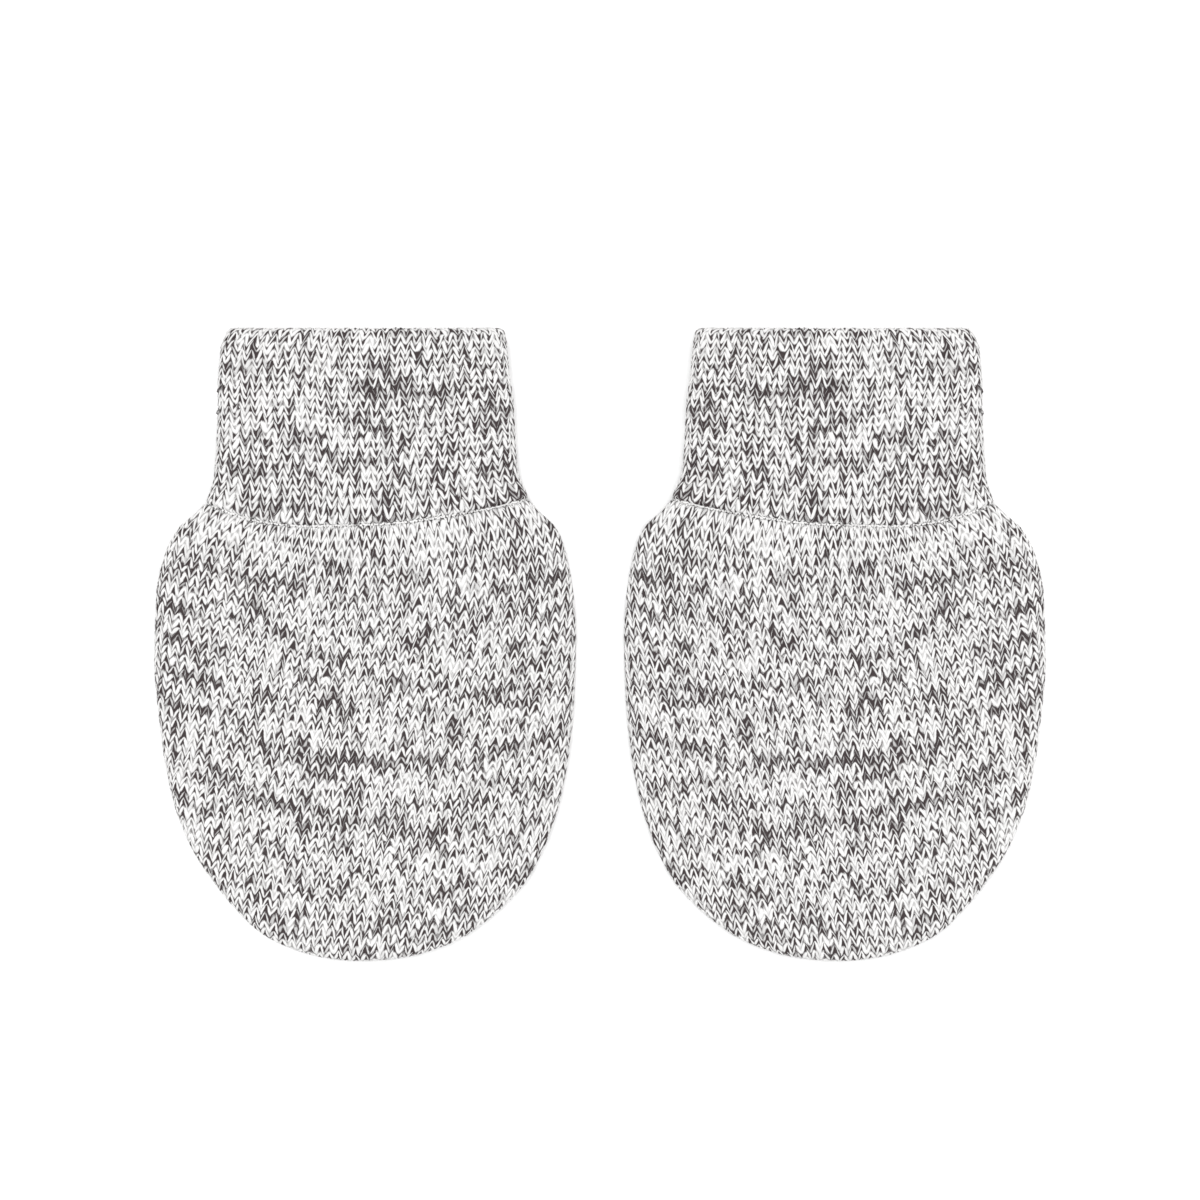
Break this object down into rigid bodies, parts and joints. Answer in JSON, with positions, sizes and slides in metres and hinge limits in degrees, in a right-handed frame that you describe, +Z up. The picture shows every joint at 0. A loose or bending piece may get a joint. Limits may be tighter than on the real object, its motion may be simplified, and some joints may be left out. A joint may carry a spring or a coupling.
{
  "type": "pair of baby mittens",
  "caption": "Pair of thumbless baby mittens in heather jersey knit, each with a folded cuff, laid flat side by side with the cuffs pointing the same way.",
  "frame": {"origin": "on the surface the mittens lie on, under the middle of the pair's box", "axes": "+X across the pair with the left mitten at -X, +Y from the fingertips towards the wrist openings, +Z up out of the surface"},
  "size_m": [0.1692, 0.1199, 0.0055],
  "materials": {
    "hand_knit": "white and charcoal heather jersey knit, matt",
    "cuff_knit": "white and charcoal heather jersey knit, matt"
  },
  "bodies": {
    "root": {"left_front_panel": "hand_knit", "left_back_panel": "hand_knit", "left_cuff": "cuff_knit", "right_front_panel": "hand_knit", "right_back_panel": "hand_knit", "right_cuff": "cuff_knit"}
  },
  "joints": []
}
